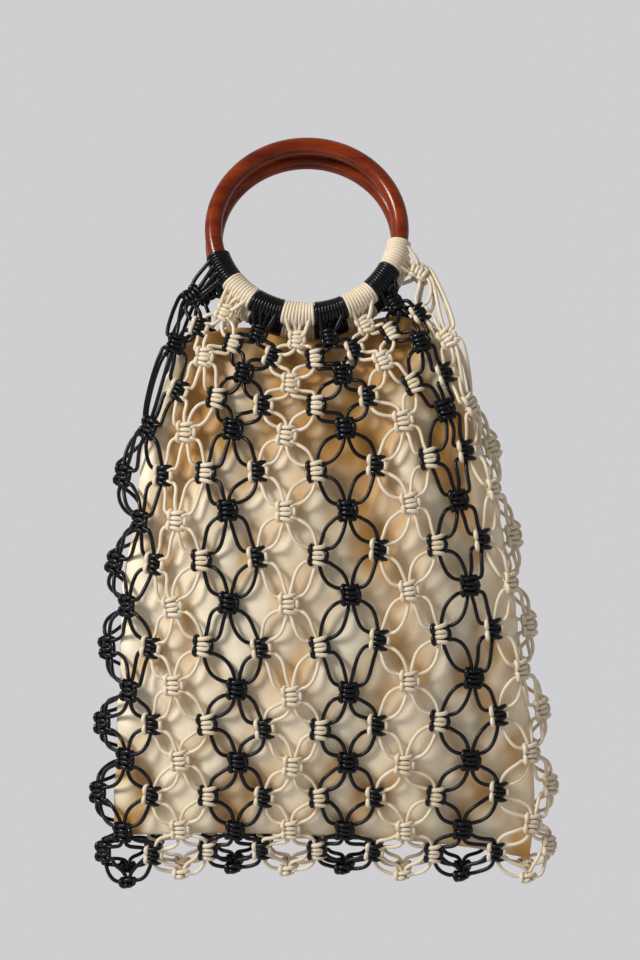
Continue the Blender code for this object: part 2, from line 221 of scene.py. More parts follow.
def along(values, u):
    """A smooth curve through the values at the four stations, read at column u."""
    total = 0.0
    for i, at in enumerate(STATIONS):
        part = values[i]
        for other in STATIONS:
            if other != at:
                part *= (u - other) / (at - other)
        total += part
    return total


def across_row(row, u):
    inside = min(max(u, 0), COLUMNS - 1)
    turn = row.turn_l if u < 0 else row.turn_r
    return along(row[0:4], inside) + turn * (u - inside) / 0.5


def row_at(v):
    low = min(int(v), LAST_ROW - 1)
    share = v - low
    upper, lower = ROWS[low - 1], ROWS[low]
    return Row(*(a + (b - a) * share for a, b in zip(upper, lower)))


def bulge(u):
    middle = (COLUMNS - 1) / 2
    out = min(abs(u - middle) / (middle + 0.5), 1.0)
    return (1 - out**CORNER) ** (1 / CORNER)


def roundness(u):
    low = max(-0.5, min(math.floor(u), COLUMNS - 1))
    high = min(math.floor(low) + 1, COLUMNS - 0.5)
    share = (u - low) / (high - low)
    return bulge(low) + (bulge(high) - bulge(low)) * share


def middle_y(v):
    """The plane between the two faces, which leans back from the rings down."""
    top = (ring_point(FRONT, 0).y + ring_point(BACK, 0).y) / 2
    return top + NET_DEPTH * row_at(v).lean


def net_point(u, v, side):
    """A place on a face of the net, from row 1 down."""
    row = row_at(v)
    follow = max(0.0, 1 - v / (JOIN_ROW + 0.5))
    top = ring_point(FRONT, 0).z
    if side == BACK:
        top += (ring_point(BACK, 0).z - top) * follow
    half = JOIN + (NET_DEPTH / 2 - JOIN) * row.swell * roundness(u)
    return Vector((
        NET_WIDTH * across_row(row, u),
        middle_y(v) + side * half,
        top - NET_DROP * along(row[6:10], min(max(u, 0), COLUMNS - 1)),
    ))


def hung_knot(u, side):
    """A knot of the first row, hanging right under its band of cord, and the way that it hangs."""
    angle = WRAP_START + WRAP_ARC * (u + 0.5)
    fan = math.radians(angle * KNOT_FAN)
    pitch = math.radians(FRONT_PITCH if side == FRONT else BACK_PITCH)
    fall = Vector((0, -math.sin(pitch), -math.cos(pitch)))
    hang = Vector((math.sin(fan), 0, 0)) + fall * math.cos(fan)
    aslant = math.cos(math.radians(angle * (1 - KNOT_FAN)))
    reach = WRAP_REACH / aslant + PIECE_GAP + KNOT_HEIGHT * RING_ROW_SIZE / 2
    return ring_point(side, angle) + hang * reach, hang


def net_surface(u, v, side):
    """The face of the net at any height, also between the rings and row 1."""
    if v >= 1:
        return net_point(u, v, side)
    hung = [hung_knot(k, side)[0] for k in STATIONS]
    top = Vector([along([p[axis] for p in hung], u) for axis in range(3)])
    return top.lerp(net_point(u, 1, side), v)


def knot_size(j):
    row = j / 2
    if row < 1:
        return RING_ROW_SIZE + (ROWS[0].size - RING_ROW_SIZE) * row
    return row_at(row).size


# Knots and cords

class Knot:
    """One knot: its place, its directions to the right, up and outward, and its size."""

    def __init__(self, place):
        self.place = place
        self.right = self.up = self.out = None
        self.size = 1.0

    def at(self, point, way=1):
        """A point of a cord in the knot, with how thick the cord is there."""
        a, b, c, thick = point
        return Vector((*(self.place + (self.right * a * way + self.up * b + self.out * c) * self.size), thick))


def place_knots():
    """Every knot by (round, down) in half steps. Even ones tie one column, odd ones two neighbours."""
    knots = {}
    for u in range(COLUMNS):
        for v in range(LAST_ROW + 1):
            for side in (FRONT, BACK):
                place = net_point(u, v, side) if v else hung_knot(u, side)[0]
                across, up = STRAYS[v][u] if side == FRONT else STRAYS[v][COLUMNS - 1 - u]
                place += Vector((across, 0, up)) * (1 if side == FRONT else BACK_STRAY)
                knots[2 * u if side == FRONT else ROUND - 2 - 2 * u, 2 * v] = Knot(place)
    for v in range(LAST_ROW):
        for k in range(1, ROUND, 2):
            over_side = k in SIDE_KNOTS
            if over_side and v < JOIN_ROW:
                continue
            around = [knots[(k + i) % ROUND, 2 * v + j].place for i in (-1, 1) for j in (0, 2)]
            place = sum(around, Vector()) / 4
            if over_side:
                row = row_at(v + 0.5)
                place.x += NET_WIDTH * (-row.turn_l if k == ROUND - 1 else row.turn_r)
            knots[k, 2 * v + 1] = Knot(place)
    return knots


def mean_of(knots, keys):
    found = [knots[k % ROUND, j].place for k, j in keys if (k % ROUND, j) in knots]
    return sum(found, Vector()) / len(found) if found else None


def turn_knots(knots, seed):
    """Gives each knot its directions from the knots around it, a little uneven as hand work is."""
    uneven = np.random.default_rng(seed)
    for (k, j), knot in knots.items():
        here = knot.place
        left = mean_of(knots, [(k - 1, j - 1), (k - 1, j + 1)]) or here
        right = mean_of(knots, [(k + 1, j - 1), (k + 1, j + 1)]) or here
        above = mean_of(knots, [(k - 1, j - 1), (k + 1, j - 1)])
        below = mean_of(knots, [(k - 1, j + 1), (k + 1, j + 1)]) or here
        if j == 0:
            side, u = (FRONT, k // 2) if k < 2 * COLUMNS else (BACK, (ROUND - 2 - k) // 2)
            above, below = here - hung_knot(u, side)[1], here
        if j == 2 * LAST_ROW:
            above, below = here + Vector((0, 0, 1)), here
        up = (above - below).normalized()
        out = (right - left).cross(up).normalized()
        if k in SIDE_KNOTS:
            out = (out + Vector((0, -SIDE_KNOT_TURN, 0))).normalized()
            up = (up - out * up.dot(out)).normalized()
        tilt = math.radians(uneven.normal(0, KNOT_TILT))
        right = up.cross(out)
        knot.up = up * math.cos(tilt) + right * math.sin(tilt)
        knot.right = knot.up.cross(out)
        knot.out = out
        knot.size = LEAST_KNOT_SIZE + (1 - LEAST_KNOT_SIZE) * knot_size(j)


def both_halves(points):
    """A cord through the whole knot, from its upper half."""
    lower = [(a, -b, c, thick) for a, b, c, thick in reversed(points[:-1])]
    return points + lower


def bow(start, leaving, end, coming, loose, lift):
    """Points of a cord between two knots: it leaves along one direction and comes in along another."""
    span = end - start
    least = 0.5 * span.length * loose
    first = leaving * max(1.35 * loose * span.dot(leaving), least)
    last = coming * max(1.35 * loose * span.dot(coming), least)
    points = []
    for t in (0.14, 0.34, 0.56, 0.78, 0.92):
        a, b, c, d = 2*t**3 - 3*t**2 + 1, t**3 - 2*t**2 + t, 3*t**2 - 2*t**3, t**3 - t**2
        place = start * a + first * b + end * c + last * d + lift * math.sin(math.pi * t)
        points.append(Vector((*place, 1)))
    return points


def run_cords(knots, loose, seed):
    """Follows each of the four cords of every column from the rings to its end. Returns {(column, cord): points}."""
    uneven = np.random.default_rng(seed)
    paths = {(c, slot): first_points(c, slot) for c in range(2 * COLUMNS) for slot in range(4)}
    holds = {(2 * c, 0): [(c, slot) for slot in range(4)] for c in range(2 * COLUMNS)}
    bars, loops, core = both_halves(BAR_CORD), both_halves(LOOP_CORD), both_halves(CORE_CORD)
    for j in range(2 * LAST_ROW + 1):
        for k in range(ROUND):
            if (k, j) not in knots:
                continue
            knot, cords = knots[k, j], holds[k, j]
            for cord, local, way in zip(cords, (bars, core, core, loops), (1, -1, 1, 1)):
                if j == 0 and local is not core:
                    local = local[2:]
                if j == 2 * LAST_ROW:
                    local = [(a, b - LAST_KNOT_DROP, c, thick) for a, b, c, thick in local[:len(local) // 2 - 1]]
                    local.append((0.5 * local[-1][0], -1.5, -2.0, 0.8))
                paths[cord] += [knot.at(point, way) for point in local]
            for way, pair in ((-1, (cords[0], cords[1])), (1, (cords[3], cords[2]))):
                target = (k + way) % ROUND, j + 1
                straight = target not in knots
                if straight:
                    target = k, j + 2
                if target not in knots:
                    continue
                join_cords(paths, knot, knots[target], way, pair, straight, j, loose, uneven)
                slots = holds.setdefault(target, [None] * 4)
                if straight:
                    outer, inner = (0, 1) if way < 0 else (3, 2)
                else:
                    outer, inner = (2, 3) if way < 0 else (1, 0)
                slots[outer], slots[inner] = pair
    return paths


def first_points(c, slot):
    """A cord comes out under the front of its band, the four side by side."""
    side, u = (FRONT, c) if c < COLUMNS else (BACK, 2 * COLUMNS - 1 - c)
    share = (-0.36, -0.12, 0.12, 0.36)[slot] * (1 if side == FRONT else -1)
    angle = WRAP_START + WRAP_ARC * (u + 0.5 + share)
    turn = FIRST_TURN * (1 if side == FRONT else -1)
    return [Vector((*ring_point(side, angle, FIRST_REACH, turn), 1))]


def join_cords(paths, upper, lower, way, pair, straight, j, loose, uneven):
    """Runs a pair of cords from one knot to the next one down."""
    worker, core = pair
    side_of = way if straight else -way
    last = j == 2 * LAST_ROW - 1
    drop = lower.up * (LAST_KNOT_DROP if last else 0)
    side_port = lower.at(BAR_CORD[0], -side_of).xyz - drop
    core_port = lower.at(CORE_CORD[0], side_of).xyz - drop
    lean = 0.25 * way * (0 if straight else 1)
    into_side = (lower.right * -side_of - lower.up * 0.2).normalized()
    into_core = (lower.right * lean - lower.up).normalized()
    ends = ((side_port, into_side), (core_port, into_core)) if straight else \
        ((core_port, into_core), (side_port, into_side))
    fall = 1.4 if last else max(0.1, uneven.normal(0.4, 0.15))
    if straight:
        fall = 2.5
    leavings = (upper.right * way - upper.up * fall).normalized(), (upper.right * lean - upper.up).normalized()
    for cord, leaving, (end, coming) in zip((worker, core), leavings, ends):
        amount = loose * (1 + uneven.normal(0, 0.07)) * (0.45 if straight else 1)
        lift = (upper.out + lower.out) * uneven.normal(0.3, 0.25)
        paths[cord] += bow(paths[cord][-1].xyz, leaving, end, coming, amount, lift)


# Meshes

def smooth_path(points, step):
    """A curve through the points, all about one step apart, in which near points make no loops."""
    p = np.array([tuple(q) for q in points])
    gap = np.linalg.norm(np.diff(p[:, :3], axis=0), axis=1)
    p = p[np.concatenate(([True], gap > 0.25))]
    gap = np.linalg.norm(np.diff(p[:, :3], axis=0), axis=1)
    slope = np.diff(p, axis=0) / gap[:, None]
    tangent = np.empty_like(p)
    tangent[1:-1] = (slope[:-1] * gap[1:, None] + slope[1:] * gap[:-1, None]) / (gap[:-1] + gap[1:])[:, None]
    tangent[0], tangent[-1] = slope[0], slope[-1]
    out = []
    for i in range(len(gap)):
        count = max(1, int(round(gap[i] / step)))
        t = (np.arange(count) / count)[:, None]
        h = gap[i]
        out.append((2*t**3 - 3*t**2 + 1) * p[i] + (t**3 - 2*t**2 + t) * tangent[i] * h
                   + (3*t**2 - 2*t**3) * p[i + 1] + (t**3 - t**2) * tangent[i + 1] * h)
    out.append(p[-1:])
    return np.vstack(out)


def tube(points, radius, sides):
    """Rings of points round a path, their faces as quads, and how far along and round each corner lies."""
    path, size = points[:, :3], points[:, 3] * radius
    size[0] = size[-1] = radius * 0.55
    count = len(path)
    ahead = np.empty_like(path)
    ahead[1:-1] = path[2:] - path[:-2]
    ahead[0], ahead[-1] = path[1] - path[0], path[-1] - path[-2]
    ahead /= np.linalg.norm(ahead, axis=1)[:, None]
    across = np.empty_like(path)
    last = np.cross(ahead[0], (0.31, 0.87, 0.38))
    for i in range(count):
        last = last - ahead[i] * last.dot(ahead[i])
        last /= math.sqrt(last.dot(last))
        across[i] = last
    third = np.cross(ahead, across)
    turn = 2 * np.pi * np.arange(sides) / sides
    ring = (across[:, None] * np.cos(turn)[:, None] + third[:, None] * np.sin(turn)[:, None]) * size[:, None, None]
    points = (path[:, None] + ring).reshape(-1, 3)
    i, k = np.meshgrid(np.arange(count - 1), np.arange(sides), indexing="ij")
    after = (k + 1) % sides
    quads = np.stack([i * sides + k, i * sides + after, (i + 1) * sides + after, (i + 1) * sides + k], -1)
    length = np.concatenate(([0], np.cumsum(np.linalg.norm(np.diff(path, axis=0), axis=1))))
    corner_u = np.stack([k, k + 1, k + 1, k], -1) / sides
    corner_v = np.stack([length[i], length[i], length[i + 1], length[i + 1]], -1)
    return points, quads.reshape(-1, 4), np.stack([corner_v, corner_u], -1).reshape(-1, 2)


def build_mesh(name, points, quads, marks=None, shade=None):
    """One object from points in millimetres and four-cornered faces, with marks for its pattern and painted shade."""
    mesh = bpy.data.meshes.new(name)
    mesh.vertices.add(len(points))
    mesh.vertices.foreach_set("co", (np.asarray(points) * MM).ravel())
    mesh.loops.add(quads.size)
    mesh.loops.foreach_set("vertex_index", quads.ravel())
    mesh.polygons.add(len(quads))
    mesh.polygons.foreach_set("loop_start", np.arange(len(quads)) * 4)
    if marks is not None:
        layer = mesh.uv_layers.new(name="pattern")
        layer.data.foreach_set("uv", np.asarray(marks, np.float32).ravel())
    if shade is not None:
        # Stored as the fold attribute: painted shade, by which the materials darken the colour.
        layer = mesh.attributes.new("fold", "FLOAT", "POINT")
        layer.data.foreach_set("value", np.asarray(shade, np.float32))
    mesh.update(calc_edges=True)
    mesh.validate()
    mesh.shade_smooth()
    made = bpy.data.objects.new(name, mesh)
    bpy.context.scene.collection.objects.link(made)
    return made


def crowding(paths, reach):
    """For each point of each path, how closely other cords lie round it, as one vector towards them, for painted shade.
    """
    points = np.vstack([path[:, :3] for path in paths])
    tree = kdtree.KDTree(len(points))
    for i, point in enumerate(points):
        tree.insert(point, i)
    tree.balance()
    crowds, start = [], 0
    for path in paths:
        towards = np.zeros((len(path), 3))
        for i in range(len(path)):
            for found, index, gap in tree.find_range(points[start + i], reach):
                if not start + i - 4 < index < start + i + 4:
                    towards[i] += (np.array(found) - points[start + i]) / max(gap, 0.1) * (1 - gap / reach)
        crowds.append(towards)
        start += len(path)
    return crowds


def join_tubes(tubes):
    points, quads, marks, start = [], [], [], 0
    for some_points, some_quads, some_marks in tubes:
        points.append(some_points)
        quads.append(some_quads + start)
        marks.append(some_marks)
        start += len(some_points)
    return np.vstack(points), np.vstack(quads), np.vstack(marks)


def finish_piece(piece, skin, slot, *nodes):
    piece.data.materials.append(skin)
    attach(piece, "root")
    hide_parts(*nodes)
    return piece


def ring_torus(side):
    around, sides = 128, 28
    angle, turn = np.meshgrid(np.arange(around) * 360 / around, np.arange(sides) * 2 * np.pi / sides, indexing="ij")
    points = [tuple(ring_point(side, a, RING_WIRE / 2, t)) for a, t in zip(angle.ravel(), turn.ravel())]
    i, k = np.meshgrid(np.arange(around), np.arange(sides), indexing="ij")
    next_i, next_k = (i + 1) % around, (k + 1) % sides
    quads = np.stack([i * sides + k, next_i * sides + k, next_i * sides + next_k, i * sides + next_k], -1)
    return np.array(points), quads.reshape(-1, 4)


def wound_path(side, column, diameter):
    """The cord of one band, wound closely round the ring's wire, with half a turn flat at each end."""
    steps = WOUND_STEPS
    reach = RING_WIRE / 2 + diameter / 2 + WOUND_GAP
    trim = math.degrees(diameter / 2 / RING_RADIUS)
    first = WRAP_START + WRAP_ARC * column + trim
    arc = WRAP_ARC - 2 * trim
    points = []
    for n in range(-steps // 2, WRAP_TURNS * steps + steps // 2 + 1):
        share = min(max(n / (WRAP_TURNS * steps), 0), 1)
        points.append((*ring_point(side, first + arc * share, reach, 2 * math.pi * n / steps + WOUND_PHASE), 1))
    return np.array(points)


# Lining

def press(u, v):
    """How far the folds press the pouch in at a place of the net, as a share of its half thickness."""
    total = 0.0
    for fold in FOLDS:
        down = (v - fold.head) / (fold.foot - fold.head)
        if 0 <= down < 1:
            off = (u - fold.top_u - (fold.foot_u - fold.top_u) * down) / fold.width
            total += fold.press * math.exp(-off * off) * math.sin(math.pi * min(1, 0.15 + down))
    return min(total, 0.5)


def level_at(share):
    """The pouch's table read at any share of its height."""
    levels = [row.level for row in POUCH]
    height = levels[0] + (levels[-1] - levels[0]) * share
    low = min(max(sum(level <= height for level in levels) - 1, 0), len(levels) - 2)
    part = (height - levels[low]) / (levels[low + 1] - levels[low])
    return Level(*(a + (b - a) * part for a, b in zip(POUCH[low], POUCH[low + 1])))


def pouch_wall():
    """The pouch's outer wall as a grid down and round, how deep each place lies in a fold, and its column."""
    walls = np.empty((LINING_DOWN, LINING_AROUND, 3))
    depths = np.empty((LINING_DOWN, LINING_AROUND))
    columns = np.empty((LINING_DOWN, LINING_AROUND))
    for row in range(LINING_DOWN):
        level = level_at(row / (LINING_DOWN - 1))
        share = (level.right - level.left) / 2
        for k in range(LINING_AROUND):
            turn = 2 * math.pi * k / LINING_AROUND
            across = math.copysign(abs(math.cos(turn)) ** (2 / LINING_CORNER), math.cos(turn))
            depth = abs(math.sin(turn)) ** (2 / LINING_CORNER)
            u = (level.left + level.right) / 2 + across * share
            v = level.level + level.dip * abs(u / COLUMNS) ** LINING_DIP_CURVE
            mid = max(0, 1 - (abs(u - (COLUMNS - 1) / 2) / LINING_RISE_WIDTH) ** 4)
            top = max(0, 1 - row / LINING_DOWN * LINING_RISE_SHARE)
            v -= LINING_BACK_RISE * mid * max(0, -math.sin(turn)) * top
            front, back = net_surface(u, v, FRONT), net_surface(u, v, BACK)
            middle = (front + back) / 2
            room = (back.y - front.y) / 2 - KNOT_THICK / 2 - LINING_GAP
            pressed = press(u, v)
            half = max(room * (1 - pressed), LINING_SEAM)
            walls[row, k] = middle.x, middle.y - math.copysign(depth * half, math.sin(turn)), middle.z
            depths[row, k], columns[row, k] = pressed, u
    return walls, depths, columns


def soften(grid, times):
    """Evens a closed grid out between neighbours, all but its first and last rows."""
    for _ in range(times):
        mean = (np.roll(grid, 1, 1) + np.roll(grid, -1, 1)) / 2
        mean[1:-1] = (mean[1:-1] + (grid[2:] + grid[:-2]) / 2) / 2
        grid = (grid + mean) / 2
    return grid


def grid_normals(grid):
    round_way = np.roll(grid, -1, 1) - np.roll(grid, 1, 1)
    down_way = np.gradient(grid, axis=0)
    normal = np.cross(round_way, down_way)
    return normal / np.maximum(np.linalg.norm(normal, axis=2), 1e-6)[:, :, None]


def grid_normals_like(grid, guide):
    """The normals of a grid, on the side that the guide's normals point to."""
    normals = grid_normals(grid)
    return normals if (normals * guide).sum() > 0 else -normals


def rumple(grid, seed):
    """Soft creases of thin cotton: wave fields of several sizes, with sharper ridges than hollows."""
    uneven = np.random.default_rng(seed)
    height = np.zeros(grid.shape[:2])
    for size, strength, number in ((60.0, 1.1, 7), (26.0, 0.7, 12), (12.0, 0.28, 14)):
        for _ in range(number):
            angle = uneven.normal(0, 0.75)
            way = np.array([math.cos(angle), uneven.normal(0, 0.3), math.sin(angle)])
            wave = 2 * math.pi / (size * uneven.uniform(0.7, 1.4))
            phase = uneven.uniform(0, 2 * math.pi)
            height += strength / math.sqrt(number) * np.sin(grid @ way * wave + phase)
    return height


def quilt(u, v):
    """The net presses the cotton in at its knots, and it stands out a little in the openings."""
    return 0.9 - 0.5 * (np.cos(2 * np.pi * (u - v)) + np.cos(2 * np.pi * (u + v)))


def lining_mesh(thickness, seed):
    """The pouch as two walls, a rim at its mouth and two floors, and how much shade is painted on each corner."""
    walls, depths, columns = pouch_wall()
    walls = soften(walls, 10)
    depths = soften(depths, 10)
    wrinkles = rumple(walls, seed)
    rows = np.array([level_at(r / (LINING_DOWN - 1)).level for r in range(LINING_DOWN)])[:, None]
    fade = np.minimum(1, np.linspace(1, 0, LINING_DOWN) * 8)[:, None]
    puff = quilt(columns, rows) * np.clip((rows - 1.0) * 2, 0, 1) * (1 - depths)
    height = wrinkles * 0.9 + puff
    normals = grid_normals(walls)
    if normals[LINING_DOWN // 2, LINING_AROUND // 4, 1] > 0:
        normals = -normals
    relief = (np.minimum(height, LINING_MOST_RELIEF) - LINING_SINK) * fade
    outer = walls + normals * relief[:, :, None]
    inner = outer - grid_normals_like(outer, normals) * thickness
    inner[-1] = outer[-1] + (0, 0, thickness)
    points = np.vstack([outer.reshape(-1, 3), inner.reshape(-1, 3)])
    n, m = LINING_DOWN, LINING_AROUND
    i, k = np.meshgrid(np.arange(n - 1), np.arange(m), indexing="ij")
    after = (k + 1) % m
    wall = np.stack([i * m + k, i * m + after, (i + 1) * m + after, (i + 1) * m + k], -1).reshape(-1, 4)
    rim_k = np.arange(m)
    rim = np.stack([rim_k, n * m + rim_k, n * m + (rim_k + 1) % m, (rim_k + 1) % m], -1)
    quads = [wall, wall[:, ::-1] + n * m, rim]
    for start, flip in (((n - 1) * m, False), ((2 * n - 1) * m, True)):
        k = np.arange(0, m // 2)
        floor = np.stack([start + k, start + k + 1, start + (-k - 1) % m, start + (-k) % m], -1)
        quads.append(floor[:, ::-1] if flip else floor)
    quads = np.vstack(quads)
    # Painted shade and light: the folds, the gathered top and the bottom are painted darker, as lying in shade,
    # and the swells between the knots and the ridges of the creases are painted lighter, as catching the light.
    high = np.clip(1 - (rows - 1) / LINING_SHADED_ROWS, 0, 1)
    low = np.clip((rows - 4.5) / 2.5, 0, 1)
    creases = 0.26 + depths * 1.2 - puff * 0.26 + high * 0.24 + low * 0.24 - wrinkles * 0.2
    # The inside of the pouch gets more painted shade than the outside.
    shade = np.concatenate([creases.ravel(), creases.ravel() + 0.25])
    return points, quads, shade


# Materials

def add_node(tree, kind, inputs=(), **settings):
    """Adds a node, sets it up, and joins or fills its inputs, given by name or number."""
    node = tree.nodes.new(kind)
    for name, value in settings.items():
        setattr(node, name, value)
    for key, value in dict(inputs).items():
        if isinstance(value, bpy.types.NodeSocket):
            tree.links.new(value, node.inputs[key])
        else:
            node.inputs[key].default_value = value
    return node


def start_material(name, **values):
    made = bpy.data.materials.new(name)
    made.use_nodes = True
    tree = made.node_tree
    shader = tree.nodes["Principled BSDF"]
    for key, value in values.items():
        shader.inputs[key.replace("_", " ")].default_value = value
    return made, tree, shader


def lacquered_hardwood(colour, light):
    """Turned close-grained hardwood, stained orange brown and lacquered: faint long streaks deep under a soft gloss."""
    made, tree, shader = start_material("lacquered_hardwood", Roughness=0.5, Specular_IOR_Level=0.05,
                                        Coat_Weight=0.55, Coat_Roughness=0.2, Coat_Tint=(0.58, 0.24, 0.1, 1))
    place = add_node(tree, "ShaderNodeTexCoord")
    # Streaks of stain about 9 mm apart and 50 mm long, and grain lines 1.5 mm apart.
    broad = add_node(tree, "ShaderNodeMapping", {"Vector": place.outputs["Object"], "Scale": (20, 110, 110)})
    stain = add_node(tree, "ShaderNodeTexNoise", {"Vector": broad.outputs[0], "Scale": 1.0, "Detail": 2.0})
    close = add_node(tree, "ShaderNodeMapping", {"Vector": place.outputs["Object"], "Scale": (60, 650, 650)})
    grain = add_node(tree, "ShaderNodeTexNoise", {"Vector": close.outputs[0], "Scale": 1.0, "Detail": 2.0})
    lines = add_node(tree, "ShaderNodeMath", {0: grain.outputs["Fac"], 1: 0.25, 2: stain.outputs["Fac"]},
                     operation="MULTIPLY_ADD")
    spread = add_node(tree, "ShaderNodeMapRange", {"Value": lines.outputs[0], "From Min": 0.4, "From Max": 0.85})
    tone = add_node(tree, "ShaderNodeMix", {0: spread.outputs[0], 6: (*colour, 1), 7: (*light, 1)},
                    data_type="RGBA")
    tree.links.new(tone.outputs[2], shader.inputs["Base Color"])
    relief = add_node(tree, "ShaderNodeBump", {"Height": grain.outputs["Fac"], "Strength": 0.06, "Distance": 0.0002})
    tree.links.new(relief.outputs[0], shader.inputs["Normal"])
    return made


def waxed_cord(name, colour, worn, roughness, gloss, sheen):
    """Round waxed cotton cord: smooth, with a soft waxy shine, faint slanting plies and paler where it is rubbed."""
    made, tree, shader = start_material(name, Roughness=roughness, Specular_IOR_Level=gloss, Sheen_Weight=sheen,
                                        Sheen_Roughness=0.5)
    marks = add_node(tree, "ShaderNodeUVMap", uv_map="pattern")
    # One turn round the cord crosses three plies, which come again every 1.5 mm along it.
    slant = add_node(tree, "ShaderNodeVectorMath",
                     {0: marks.outputs[0], 1: (2 * math.pi / 1.5, 2 * math.pi * 3, 0)}, operation="DOT_PRODUCT")
    plies = add_node(tree, "ShaderNodeMath", {0: slant.outputs["Value"]}, operation="SINE")
    place = add_node(tree, "ShaderNodeTexCoord")
    rubbed = add_node(tree, "ShaderNodeTexNoise", {"Vector": place.outputs["Object"], "Scale": 90.0, "Detail": 3.0})
    fibre = add_node(tree, "ShaderNodeTexNoise", {"Vector": place.outputs["Object"], "Scale": 1400.0, "Detail": 1.0})
    wear = add_node(tree, "ShaderNodeMapRange", {"Value": rubbed.outputs["Fac"], "From Min": 0.35, "From Max": 0.7})
    mixed = add_node(tree, "ShaderNodeMix", {0: wear.outputs[0], 6: (*colour, 1), 7: (*worn, 1)}, data_type="RGBA")
    # Painted shade: darker and warmer where other cords crowd close round the cord deep in a knot.
    deep = add_node(tree, "ShaderNodeAttribute", attribute_name="fold")
    dark = tuple(c * k for c, k in zip(colour, (0.34, 0.19, 0.09)))
    tone = add_node(tree, "ShaderNodeMix", {0: deep.outputs["Fac"], 6: mixed.outputs[2], 7: (*dark, 1)},
                    data_type="RGBA")
    tree.links.new(tone.outputs[2], shader.inputs["Base Color"])
    height = add_node(tree, "ShaderNodeMath", {0: fibre.outputs["Fac"], 1: 0.5, 2: plies.outputs[0]},
                      operation="MULTIPLY_ADD")
    relief = add_node(tree, "ShaderNodeBump", {"Height": height.outputs[0], "Strength": 0.3, "Distance": 0.0001})
    tree.links.new(relief.outputs[0], shader.inputs["Normal"])
    return made


def cotton_lawn(light, deep):
    """Thin plain-woven cotton, washed soft: matt, faint thread, painted warmer and darker as shade in its folds."""
    made, tree, shader = start_material("cotton_lawn", Roughness=0.62, Sheen_Weight=0.2, Sheen_Roughness=0.35)
    # The fold attribute is painted shade, in folds, at the top, the bottom and inside; a cloud adds random mottle.
    fold = add_node(tree, "ShaderNodeAttribute", attribute_name="fold")
    place = add_node(tree, "ShaderNodeTexCoord")
    cloud = add_node(tree, "ShaderNodeTexNoise", {"Vector": place.outputs["Object"], "Scale": 30.0, "Detail": 4.0})
    amount = add_node(tree, "ShaderNodeMath", {0: cloud.outputs["Fac"], 1: 0.5, 2: fold.outputs["Fac"]},
                      operation="MULTIPLY_ADD")
    painted_shade_and_mottle = add_node(tree, "ShaderNodeMapRange", {"Value": amount.outputs[0], "From Min": 0.1, "From Max": 1.0},
                        interpolation_type="SMOOTHSTEP")
    tone = add_node(tree, "ShaderNodeMix", {0: painted_shade_and_mottle.outputs[0], 6: (*light, 1), 7: (*deep, 1)}, data_type="RGBA")
    tree.links.new(tone.outputs[2], shader.inputs["Base Color"])
    # The threads lie 0.4 mm apart, drawn at 0.9 mm so that they show.
    threads = add_node(tree, "ShaderNodeMapping", {"Vector": place.outputs["Object"], "Scale": (1100, 1100, 1100)})
    weave = add_node(tree, "ShaderNodeTexNoise", {"Vector": threads.outputs[0], "Scale": 1.0, "Detail": 1.0})
    relief = add_node(tree, "ShaderNodeBump", {"Height": weave.outputs["Fac"], "Strength": 0.25, "Distance": 0.0002})
    tree.links.new(relief.outputs[0], shader.inputs["Normal"])
    return made


def studio_paper(colour):
    """Matt pale background paper, hardly mottled."""
    made, tree, shader = start_material("studio_paper", Roughness=0.95, Specular_IOR_Level=0.1)
    place = add_node(tree, "ShaderNodeTexCoord")
    mottle = add_node(tree, "ShaderNodeTexNoise", {"Vector": place.outputs["Object"], "Scale": 1.2, "Detail": 2.0})
    darker = tuple(c * 0.95 for c in colour)
    tone = add_node(tree, "ShaderNodeMix", {0: mottle.outputs["Fac"], 6: (*darker, 1), 7: (*colour, 1)},
                    data_type="RGBA")
    tree.links.new(tone.outputs[2], shader.inputs["Base Color"])
    return made


def daylight(colour, glow, dim):
    """Even pale surroundings that shed more light from behind the bag than from in front of it."""
    made = bpy.data.worlds.new("studio_daylight")
    made.use_nodes = True
    tree = made.node_tree
    surroundings = tree.nodes["Background"]
    surroundings.inputs["Color"].default_value = (*colour, 1)
    place = add_node(tree, "ShaderNodeTexCoord")
    parts = add_node(tree, "ShaderNodeSeparateXYZ", {"Vector": place.outputs["Generated"]})
    spill = add_node(tree, "ShaderNodeMapRange", {"Value": parts.outputs["Y"], "From Min": -0.6, "From Max": 0.6,
                                                  "To Min": dim, "To Max": glow}, interpolation_type="SMOOTHSTEP")
    rays = add_node(tree, "ShaderNodeLightPath")
    seen = add_node(tree, "ShaderNodeMix", {0: rays.outputs["Is Camera Ray"], 2: spill.outputs[0], 3: 1.0})
    tree.links.new(seen.outputs[0], surroundings.inputs["Strength"])
    return made


# Settings

class BagRingSettings(bpy.types.PropertyGroup):
    """The wooden rings"""
    stain: FloatVectorProperty(
        name="Stain", description="Colour of the stained wood between the grain lines", subtype="COLOR",
        size=3, min=0, max=1, default=linear("60200a"))
    grain: FloatVectorProperty(
        name="Grain", description="Colour of the lighter grain under the lacquer", subtype="COLOR",
        size=3, min=0, max=1, default=linear("9e440c"))


